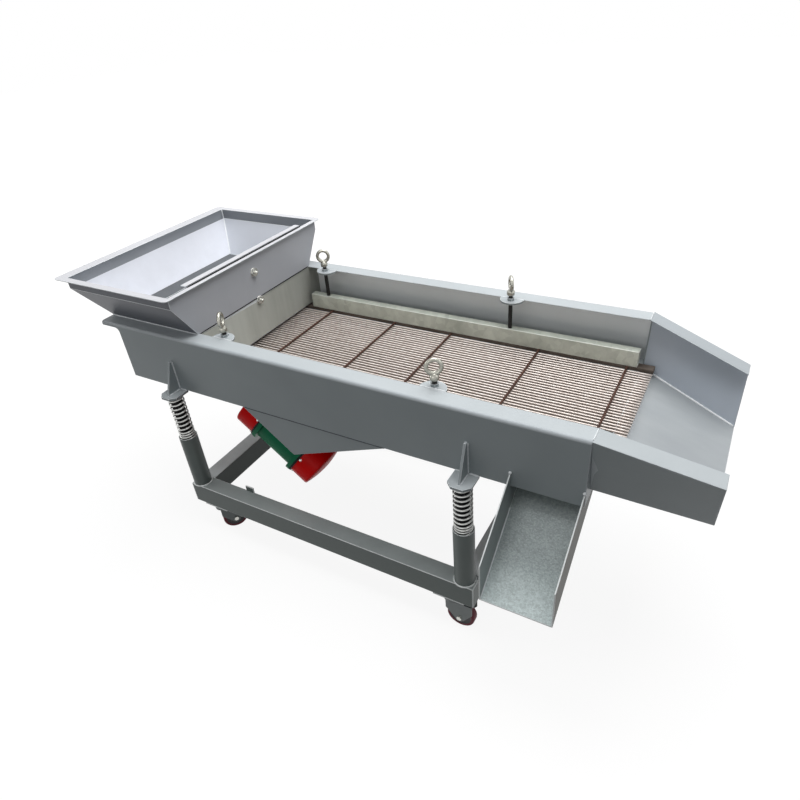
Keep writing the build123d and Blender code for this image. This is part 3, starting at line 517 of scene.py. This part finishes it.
def tube_rings(points, radii, count, closed=False):
    """Rings of points along a path, turned with it and not about it."""
    total = len(points)
    tangents = []
    for i in range(total):
        before = points[i - 1] if i or closed else points[0]
        after = points[(i + 1) % total] if i < total - 1 or closed else points[-1]
        tangents.append((after - before).normalized())
    normal = tangents[0].orthogonal().normalized()
    rings = []
    for i, (point, tangent) in enumerate(zip(points, tangents)):
        if i:
            normal = tangents[i - 1].rotation_difference(tangent) @ normal
        side = tangent.cross(normal)
        radius = radii[i] if isinstance(radii, list) else radii
        rings.append([point + (normal * math.cos(a) + side * math.sin(a)) * radius
                      for a in circle(count)])
    return rings


def skin_rings(shape, rings, closed=False, material=0):
    """Faces between rings of points, with flat ends where the row of rings is open."""
    loops = [[shape.verts.new(point) for point in ring] for ring in rings]
    count = len(loops[0])
    pairs = list(zip(loops, loops[1:]))
    if closed:
        pairs.append((loops[-1], loops[0]))
    for first, second in pairs:
        for k in range(count):
            after = (k + 1) % count
            face = shape.faces.new((first[k], first[after], second[after], second[k]))
            face.smooth = True
            face.material_index = material
    if not closed:
        for loop in (list(reversed(loops[0])), loops[-1]):
            shape.faces.new(loop).material_index = material


def mesh_of(name, shape, *materials):
    bmesh.ops.recalc_face_normals(shape, faces=shape.faces)
    mesh = bpy.data.meshes.new(name)
    for item in materials:
        mesh.materials.append(item)
    shape.to_mesh(mesh)
    shape.free()
    return add_object(name, mesh)


def turned(shape, profile, centre, axis, count=32, closed=False):
    """A turned body: profile is a list of (distance along axis, radius)."""
    axis = Vector(axis).normalized()
    first = axis.orthogonal().normalized()
    second = axis.cross(first)
    centre = Vector(centre)
    rings = [
        [centre + axis * along + (first * math.cos(a) + second * math.sin(a)) * max(radius, 1e-5)
         for a in circle(count)]
        for along, radius in profile
    ]
    skin_rings(shape, rings, closed=closed)


# Every solid of the frame with broken edges

sheet_edge = 0.0042
sheet_length = 0.03
round_nodes = ("spring_posts",)
edge_widths = {
    "trough_side_near": 0.0010, "trough_side_far": 0.0010, "feed_end_plate": 0.0010,
    "bottom_pan": 0.0006, "seam_frame": 0.0, "spout_wall_near": 0.0010, "spout_wall_far": 0.0010,
    "spout_floor": 0.0008, "chute_floor": 0.0009, "chute_walls": 0.0010, "hopper": 0.0010,
    "feed_baffle": 0.0008, "feed_gate": 0.0008, "gate_bolts": 0.0012, "deck_ledges": 0.0008,
    "screen_strips": 0.0008, "screen_rods": 0.0004, "feed_plate": 0.0008,
    "hold_down_bar_near": 0.0018, "hold_down_bar_far": 0.0018, "jack_tabs": 0.0010,
    "rail_near": 0.0028, "rail_far": 0.0028, "cross_rail_feed": 0.0028,
    "cross_rail_discharge": 0.0028, "rail_end_caps": 0.0009, "rail_lug": 0.0009,
    "spring_posts": 0.0009, "spring_seats": 0.0013, "caster_plates": 0.0008,
    "motor_bracket_near": 0.0010, "motor_bracket_far": 0.0010, "motor_mount_plate": 0.0010,
    "motor_bolts": 0.0009, "motor_body_near": 0.0014, "motor_body_far": 0.0014,
    "motor_rotor_near": 0.0008, "motor_rotor_far": 0.0008, "motor_covers": 0.0015,
}
for corner in corners:
    edge_widths["fork_" + corner] = 0.0010
    edge_widths["axle_" + corner] = 0.0008
for node, width in edge_widths.items():
    dressed(node, width)


# Coil springs on their rubber cores: free turns above the post, close turns in its mouth

spring_foot = 0.340
spring_top = 0.510
coil_radius = 0.0216
coil_wire = 0.0024
coil_turns = 14
coil_rises = [(0.0, 0.0), (1.0, 0.0058), (2.0, 0.0190), (5.0, 0.0440), (13.0, 0.1585),
              (14.0, 0.1645)]
steps_per_turn = 32
core_radius = 0.0171
core_end_radius = 0.012
core_foot, core_top = 0.0002, 0.1590
core_round = 0.001
rib_length = 0.1564
rib_steps = 60
rib_pitch = 0.0143
rib_height = 0.0007


def coil_height(turn):
    """Height at a turn: close turns at the foot, at the mouth of the post and at the head."""
    for (turn_a, rise_a), (turn_b, rise_b) in zip(coil_rises, coil_rises[1:]):
        if turn <= turn_b:
            share = (turn - turn_a) / (turn_b - turn_a)
            return spring_foot + coil_wire + rise_a + (rise_b - rise_a) * share
    return spring_top - coil_wire


core_profile = [(core_foot, core_end_radius), (core_foot, core_radius - core_round),
                (core_foot + core_round, core_radius)]
for step in range(1, rib_steps):
    rise = core_foot + core_round + rib_length * step / rib_steps
    rib = rib_height * math.sin(2 * math.pi * rise / rib_pitch)
    core_profile.append((rise, core_radius + rib))
core_profile += [(core_top - core_round, core_radius), (core_top, core_radius - core_round),
                 (core_top, core_end_radius)]

for corner in corners:
    low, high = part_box("spring_" + corner)
    centre_x, centre_y = (low.x + high.x) / 2, (low.y + high.y) / 2
    points = []
    for step in range(coil_turns * steps_per_turn + 1):
        turn = step / steps_per_turn
        angle = 2 * math.pi * turn
        points.append(Vector((centre_x + coil_radius * math.cos(angle),
                              centre_y + coil_radius * math.sin(angle), coil_height(turn))))
    shape = bmesh.new()
    skin_rings(shape, tube_rings(points, coil_wire, 10))
    coil = mesh_of("coil_spring_" + corner, shape, spring_steel)
    shape = bmesh.new()
    turned(shape, core_profile, (centre_x, centre_y, spring_foot), (0, 0, 1), 24)
    core = mesh_of("spring_core_" + corner, shape, core_rubber)
    for piece in (coil, core):
        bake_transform(piece)
        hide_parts("spring_" + corner)


# Screen wires, each a little wavy between its held ends

low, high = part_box("screen_wires")
wire_count = 37
wire_steps = 60
wire_wave = 0.0006
wire_radius = (high.z - low.z) / 2
wire_pitch = (high.y - low.y - 2 * wire_radius) / (wire_count - 1)
shape = bmesh.new()
for index in range(wire_count):
    wire_y = low.y + wire_radius + index * wire_pitch
    points = []
    for step in range(wire_steps + 1):
        along = low.x + (high.x - low.x) * step / wire_steps
        wander = noise.noise(Vector((along * 6, index * 7.3, 0.0))) * wire_wave
        free = min(step, wire_steps - step, 3) / 3
        points.append(Vector((along, wire_y + wander * free, low.z + wire_radius)))
    skin_rings(shape, tube_rings(points, wire_radius * 0.98, 10))
place(mesh_of("screen_wire_deck", shape, wire_steel), "trough", "screen_steel", "screen_wires")


# Painted shade: a dark strip on the spout floor under the ends of the wires, so the gaps there look
# dark

low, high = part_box("spout_floor")
strip_mid_y = (low.y + high.y) / 2
strip_half = 0.224
strip_steps = 20
strip_section = ((0.6405, 0.0), (0.6405, 0.0022), (0.6415, 0.0030), (0.6660, 0.0030),
                 (0.6672, 0.0020), (0.6674, 0.0))
spout_fall = (spout_end_z - spout_start_z) / (end_x - seam_x)
shape = bmesh.new()
skin_rings(shape, [
    [Vector((x, strip_mid_y + strip_half * k / strip_steps,
             spout_start_z + spout_fall * (x - seam_x) + rise)) for x, rise in strip_section]
    for k in range(-strip_steps, strip_steps + 1)
])
place(mesh_of("screen_end_shade_strip", shape, pan_brown_shade), "trough", "trough_paint")


# Jack screws: ring nut on a threaded stud

eye_turn = {"near_feed": 30, "near_discharge": -60, "far_feed": -60, "far_discharge": 30}
eye_z = 0.740
eye_outer = 0.0225
eye_wire = 0.005
eye_steps = 40
collar_z = 0.7062
collar = [(0, 0.0085), (0.0005, 0.0105), (0.003, 0.0110), (0.010, 0.0110), (0.0125, 0.0098),
          (0.0150, 0.0072), (0.018, 0.0055)]
stud_low, stud_high = 0.6043, 0.7065
stud_radius = 0.0060
stud_sides = 14
thread_pitch = 0.00175
thread_depth = 0.0007
rows_per_turn = 4
thread_rows = int((stud_high - stud_low) / thread_pitch * rows_per_turn)
for corner in corners:
    low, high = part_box("jack_" + corner)
    centre_x, centre_y = (low.x + high.x) / 2, (low.y + high.y) / 2
    turn = math.radians(eye_turn[corner])
    flat = Vector((-math.sin(turn), math.cos(turn), 0))
    shape = bmesh.new()
    eye_centre = Vector((centre_x, centre_y, eye_z))
    eye_path = [
        eye_centre + (flat * math.cos(a) + Vector((0, 0, math.sin(a)))) * (eye_outer - eye_wire)
        for a in circle(eye_steps)
    ]
    radii = [eye_wire * (1.0 + 0.12 * max(0, -math.sin(a))) for a in circle(eye_steps)]
    skin_rings(shape, tube_rings(eye_path, radii, 14, closed=True), closed=True)
    turned(shape, collar, (centre_x, centre_y, collar_z), (0, 0, 1))
    rings = []
    for row in range(thread_rows + 1):
        z = stud_low + (stud_high - stud_low) * row / thread_rows
        ring = []
        for k, a in enumerate(circle(stud_sides)):
            phase = (row / rows_per_turn + k / stud_sides) % 1
            radius = stud_radius - thread_depth * (1 - abs(2 * phase - 1))
            ring.append(Vector((centre_x + radius * math.cos(a), centre_y + radius * math.sin(a),
                                z)))
        rings.append(ring)
    skin_rings(shape, rings, material=1)
    place(mesh_of("jack_screw_" + corner, shape, eye_steel, dark_thread), "jack_" + corner, "zinc",
          "jack_" + corner)


# Caster wheels: (distance along the axle, radius, skin), skins being tread, web and hub

caster_turn = {"near_feed": math.radians(55)}
wheel_steps = 48
wheel_profile = [
    (-0.0155, 0.0045, 2), (-0.0155, 0.0115, 2), (-0.0148, 0.0128, 2), (-0.0108, 0.0134, 1),
    (-0.0108, 0.0285, 1), (-0.0122, 0.0300, 0), (-0.0124, 0.0360, 0), (-0.0112, 0.0381, 0),
    (-0.0085, 0.0390, 0), (0.0085, 0.0390, 0), (0.0112, 0.0381, 0), (0.0124, 0.0360, 0),
    (0.0122, 0.0300, 0), (0.0108, 0.0285, 1), (0.0108, 0.0134, 1), (0.0148, 0.0128, 2),
    (0.0155, 0.0115, 2), (0.0155, 0.0045, 2),
]
for corner in corners:
    low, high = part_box("wheel_" + corner)
    turn = caster_turn.get(corner, 0.0)
    shape = bmesh.new()
    turned(shape, [(along, radius) for along, radius, _ in wheel_profile], (low + high) / 2,
           (-math.sin(turn), math.cos(turn), 0), wheel_steps, closed=True)
    for index, face in enumerate(shape.faces):
        face.material_index = wheel_profile[index // wheel_steps][2]
    place(mesh_of("caster_wheel_" + corner, shape, wheel_tread, wheel_core, zinc),
          "wheel_" + corner, "wheel_plastic", "wheel_" + corner)


# Motor gaskets, domed cover ends and cover screws

motor_slope = math.atan2(120, 149)
motor_x, motor_z = -0.25122, 0.36975
along_motor = Vector((math.cos(motor_slope), 0, -math.sin(motor_slope)))
across_motor = Vector((0, 1, 0))
cap_start = 0.0735
cap_end = 0.1405
gasket_profile = [(0, 0.0706), (0, 0.0762), (0.0055, 0.0756), (0.0060, 0.0706)]
dome_profile = [(-0.0015, 0.0660)]
dome_profile += [(0.009 * (1 - share ** 2), 0.0665 * share)
                 for share in (1.0, 0.9, 0.75, 0.6, 0.4, 0.2, 0.0)]
screw_profile = [(-0.001, 0.0001), (-0.001, 0.0046), (0.0004, 0.0046), (0.0004, 0.0036),
                 (0.0018, 0.0035), (0.0026, 0.0024), (0.0028, 0.0001)]
screw_along, screw_out = 0.083, 0.072
for side in sides:
    low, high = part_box("motor_body_" + side)
    centre = Vector((motor_x, (low.y + high.y) / 2, motor_z))
    shape = bmesh.new()
    for way in (-1, 1):
        turned(shape, [(way * (cap_start + along), radius) for along, radius in gasket_profile],
               centre, along_motor, 64, closed=True)
    place(mesh_of("motor_gaskets_" + side, shape, gasket), "trough", "motor_green")
    shape = bmesh.new()
    for way in (-1, 1):
        turned(shape, [(way * (cap_end + along), radius) for along, radius in dome_profile],
               centre, along_motor, 48)
    place(mesh_of("motor_cover_domes_" + side, shape, motor_red), "trough", "motor_red")
    shape = bmesh.new()
    for way in (-1, 1):
        for angle in (27, 153, 207, 333):
            out = across_motor * math.cos(math.radians(angle))
            out += along_motor.cross(across_motor) * math.sin(math.radians(angle))
            turned(shape, screw_profile,
                   centre + along_motor * way * screw_along + out * screw_out, out, 16)
    place(mesh_of("motor_cover_screws_" + side, shape, zinc), "trough", "zinc")


# Threaded ends of the gate bolts and their washers

washer = [(-0.0005, 0.0040), (-0.0005, 0.0125), (0.0012, 0.0130), (0.0018, 0.0120),
          (0.0018, 0.0040)]
thread = [(-0.004, 0.0001), (-0.004, 0.0045)]
thread += [(-0.002 + step * 0.0009, 0.0048 if step % 2 else 0.0043) for step in range(9)]
thread += [(0.0062, 0.0040), (0.0062, 0.0001)]
shape = bmesh.new()
for bolt_z in (0.770, 0.681):
    turned(shape, thread, (bolts_high.x, mid_y, bolt_z), (1, 0, 0), 20)
    turned(shape, washer, (hopper_front_x, mid_y, bolt_z), (1, 0, 0), 28, closed=True)
place(mesh_of("gate_bolt_ends", shape, zinc), "trough", "zinc")


# Weld beads, lighter than the paint as painted highlight, and seams, dark as painted shade


def resampled(path, step):
    points = [Vector(point) for point in path]
    spaced = [points[0]]
    for first, second in zip(points, points[1:]):
        count = max(1, round((second - first).length / step))
        spaced += [first.lerp(second, k / count) for k in range(1, count + 1)]
    return spaced


def beads(name, paths, radius, skin, body, slot, ripple=0.12, step=0.004):
    """Rippled beads along paths, thinner at both ends."""
    shape = bmesh.new()
    for seed, path in enumerate(paths):
        points = resampled(path, step)
        radii = []
        for k in range(len(points)):
            uneven = noise.noise(Vector((k * 0.6, seed * 3.1, 0.5)))
            radii.append(radius * (1 + ripple * math.sin(1.9 * k) + ripple * uneven))
        radii[0] *= 0.6
        radii[-1] *= 0.6
        skin_rings(shape, tube_rings(points, radii, 8))
    place(mesh_of(name, shape, skin), body, slot)


gusset_half = 0.0035
gusset_foot_z = 0.519
gusset_top_z = 0.606
seat_z = trough_z + 0.0005
post_radius = 0.0275
cross_joints = ((-0.565, -0.515, -0.515), (0.357, 0.407, 0.357))  # start, stop, upright weld
outlet_x = -0.794
spout_half = (0.2595, 0.1845)  # where its floor starts and ends
bracket_x = (-0.295, 0.154)
trough_paths = []
frame_paths = []
seam_paths = []
spout_paths = []
for side in (-1, 1):
    outer = across(side, trough_half)
    for x in post_x:
        for edge in (x - gusset_half, x + gusset_half):
            wall = outer + side * 0.0006
            trough_paths.append([(edge, wall, gusset_foot_z), (edge, wall, gusset_top_z)])
            trough_paths.append([(edge, outer + side * 0.003, seat_z),
                                 (edge, outer + side * 0.043, seat_z)])
        for start, stop in ((x - 0.030, x - 0.005), (x + 0.005, x + 0.030)):
            trough_paths.append([(start, outer, trough_z + 0.0004),
                                 (stop, outer, trough_z + 0.0004)])
        frame_paths.append([
            (x + post_radius * math.cos(a), across(side, post_half) + post_radius * math.sin(a),
             rail_z + 0.0006) for a in (*circle(40), 2 * math.pi)
        ])
    for start, stop, inner in cross_joints:
        frame_paths.append([(start + 0.003, outer, rail_z - 0.0002),
                            (stop - 0.003, outer, rail_z - 0.0002)])
        frame_paths.append([(inner, outer, rail_foot_z + 0.003), (inner, outer, rail_z - 0.003)])
    trough_paths.append([(x, across(side, hopper_foot_half), flange_z + 0.0006)
                         for x in (outlet_x, hopper_front_x)])
    spout_paths.append([(seam_x, across(side, spout_half[0]), spout_start_z + 0.001),
                        (end_x - 0.002, across(side, spout_half[1]), spout_end_z + 0.001)])
    for x in jack_x:
        trough_paths.append([(x - 0.033, across(side, 0.250), flange_z - 0.0004),
                             (x + 0.033, across(side, 0.250), flange_z - 0.0004)])
    seam_paths.append([(x, outer, trough_z) for x in bracket_x])
beads("spout_welds", spout_paths, 0.0028, weld_strong_highlight, "trough", "trough_paint")
beads("trough_welds", trough_paths, 0.0022, weld_highlight, "trough", "trough_paint")
beads("frame_welds", frame_paths, 0.0026, frame_edge_highlight, "base", "frame_paint")
# Painted shade: a dark line along the seam of side plate and motor bracket.
beads("bracket_seams", seam_paths, 0.0013, seam_shade, "trough", "trough_paint", ripple=0.05,
      step=0.008)
beads("flange_joints", [[(seam_x, across(side, reach), flange_z)
                         for reach in (trough_half - 0.007, 0.251)] for side in (-1, 1)],
      0.0014, weld_highlight, "trough", "trough_paint", ripple=0.2)
# Painted shade: dark beads in the joint of hopper and baffle and in the gate's slot.
beads("baffle_seam_shade", [[(hopper_front_x + 0.0002, across(side, 0.249), flange_z - 0.0005)
                       for side in (-1, 1)]],
      0.0016, gasket, "trough", "trough_paint", ripple=0.0, step=0.02)
beads("gate_slot_shade", [[(hopper_front_x - 0.0028, across(side, 0.247), rim_under_z + 0.0022)
                     for side in (-1, 1)]],
      0.0026, gasket, "trough", "hopper_paint", ripple=0.0, step=0.02)

# The chute's welds: down the inner corners, then up the outer ones to a dot at each top
chute_floor_z = (0.4525, 0.3290)
chute_join_z = (0.520, 0.5535)
chute_dot = [(-0.0035, 0.0001), (-0.0030, 0.0022), (-0.0010, 0.0040), (0.0012, 0.0040),
             (0.0030, 0.0024), (0.0036, 0.0001)]
chute_paths = []
for x in (chute_x[0] + 0.0033, chute_x[1] - 0.0033):
    chute_paths.append([(x, chute_start_y, chute_floor_z[0]), (x, chute_end_y, chute_floor_z[1])])
for x in (chute_x[0] - 0.0003, chute_x[1] + 0.0003):
    chute_paths.append([(x, chute_start_y, z) for z in chute_join_z])
beads("chute_welds", chute_paths, 0.0019, weld_highlight, "trough", "chute_paint")
shape = bmesh.new()
for x in (chute_x[0] + 0.0015, chute_x[1] - 0.0015):
    turned(shape, chute_dot, (x, chute_start_y - 0.001, chute_join_z[1] + 0.002), (0, 0, 1), 14)
place(mesh_of("chute_weld_dots", shape, weld_highlight), "trough", "chute_paint")

valley_paths = []
for side in (-1, 1):
    band_y = across(side, 0.3165)
    for band_x, foot_x in ((-0.8485, -0.7905), (-0.4495, -0.4495)):
        valley_paths.append([(band_x, band_y, rim_under_z), (band_x, band_y, band_foot_z),
                             (foot_x, across(side, 0.2525), flange_z + 0.0005)])
beads("hopper_welds", valley_paths, 0.0023, weld_strong_highlight, "trough", "hopper_paint")


# Floor and surroundings: white in the picture and in mirrors, dim as a source of light


def white_seen(made):
    """A clear tree, and a value that is 1 for the camera, for mirrors and through glass."""
    made.use_nodes = True
    tree = made.node_tree
    tree.nodes.clear()
    path = add_node(tree, "ShaderNodeLightPath").outputs
    seen = combined(tree, "MAXIMUM", path["Is Camera Ray"], path["Is Glossy Ray"])
    return tree, combined(tree, "MAXIMUM", seen, path["Is Transmission Ray"])


floor_half = 14.0
floor_mesh = bpy.data.meshes.new("floor")
floor_mesh.from_pydata(
    [(x * floor_half, y * floor_half, 0) for x, y in ((-1, -1), (1, -1), (1, 1), (-1, 1))],
    [], [(0, 1, 2, 3)])
floor = add_object("floor", floor_mesh)
floor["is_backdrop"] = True
floor_finish = bpy.data.materials.new("floor")
tree, seen = white_seen(floor_finish)
diffuse = add_node(tree, "ShaderNodeBsdfDiffuse", Color=(0.12, 0.12, 0.12, 1))
reach = add_node(tree, "ShaderNodeVectorMath", operation="LENGTH")
tree.links.new(add_node(tree, "ShaderNodeTexCoord").outputs["Object"], reach.inputs[0])
shade = mapped(tree, reach.outputs["Value"], (1.1, 3.0), (0.90, 1.0), "SMOOTHSTEP")
glow = add_node(tree, "ShaderNodeEmission")
tree.links.new(combined(tree, "MULTIPLY", seen, shade), glow.inputs["Strength"])
both = add_node(tree, "ShaderNodeAddShader")
tree.links.new(diffuse.outputs[0], both.inputs[0])
tree.links.new(glow.outputs[0], both.inputs[1])
out = add_node(tree, "ShaderNodeOutputMaterial")
tree.links.new(both.outputs[0], out.inputs["Surface"])
floor_mesh.materials.append(floor_finish)

world = bpy.data.worlds.new("studio")
scene.world = world
tree, seen = white_seen(world)
background = add_node(tree, "ShaderNodeBackground", Color=(1, 1, 1, 1))
tree.links.new(mapped(tree, seen, (0, 1), (0.16, 1.0)), background.inputs["Strength"])
out = add_node(tree, "ShaderNodeOutputWorld")
tree.links.new(background.outputs[0], out.inputs["Surface"])


# Lamps and camera


def soft_lamp(name, at, toward, width, height, power):
    lamp = bpy.data.lights.new(name, "AREA")
    lamp.shape = "RECTANGLE"
    lamp.size = width
    lamp.size_y = height
    lamp.energy = power
    made = add_object(name, lamp)
    made.location = at
    made.rotation_euler = (Vector(toward) - Vector(at)).to_track_quat("-Z", "Y").to_euler()


soft_lamp("overhead", (0.2, 0.75, 3.4), (0.2, 0.75, 0.4), 3.3, 3.1, 146)
soft_lamp("feed_side", (-3.3, -0.6, 1.3), (-0.3, 0.0, 0.5), 2.0, 1.4, 26)
soft_lamp("discharge_side", (3.4, 0.6, 2.2), (0.0, 0.1, 0.6), 2.0, 1.4, 14)
soft_lamp("front", (-0.2, -3.8, 2.0), (-0.2, 0.1, 0.6), 3.0, 1.2, 21)

eye = Vector((0.82674, -1.21837, 1.45401))
yaw, pitch, roll = math.radians(31.85), math.radians(-34.56), math.radians(-5.07)
forward = Vector((-math.sin(yaw) * math.cos(pitch), math.cos(yaw) * math.cos(pitch),
                  math.sin(pitch)))
right = forward.cross(Vector((0, 0, 1))).normalized()
upward = right.cross(forward)
right, upward = (
    right * math.cos(roll) + upward * math.sin(roll),
    upward * math.cos(roll) - right * math.sin(roll),
)
camera_data = bpy.data.cameras.new("camera")
camera_data.sensor_width = 36
camera_data.lens = 27.899
camera_data.shift_x = -0.0049
camera_data.shift_y = 0.0067
camera_data.clip_start = 0.01
camera = add_object("camera", camera_data)
camera.matrix_world = Matrix((
    (right.x, upward.x, -forward.x, eye.x),
    (right.y, upward.y, -forward.y, eye.y),
    (right.z, upward.z, -forward.z, eye.z),
    (0, 0, 0, 1),
))
scene.camera = camera
scene.view_settings.view_transform = "Standard"

low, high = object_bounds()
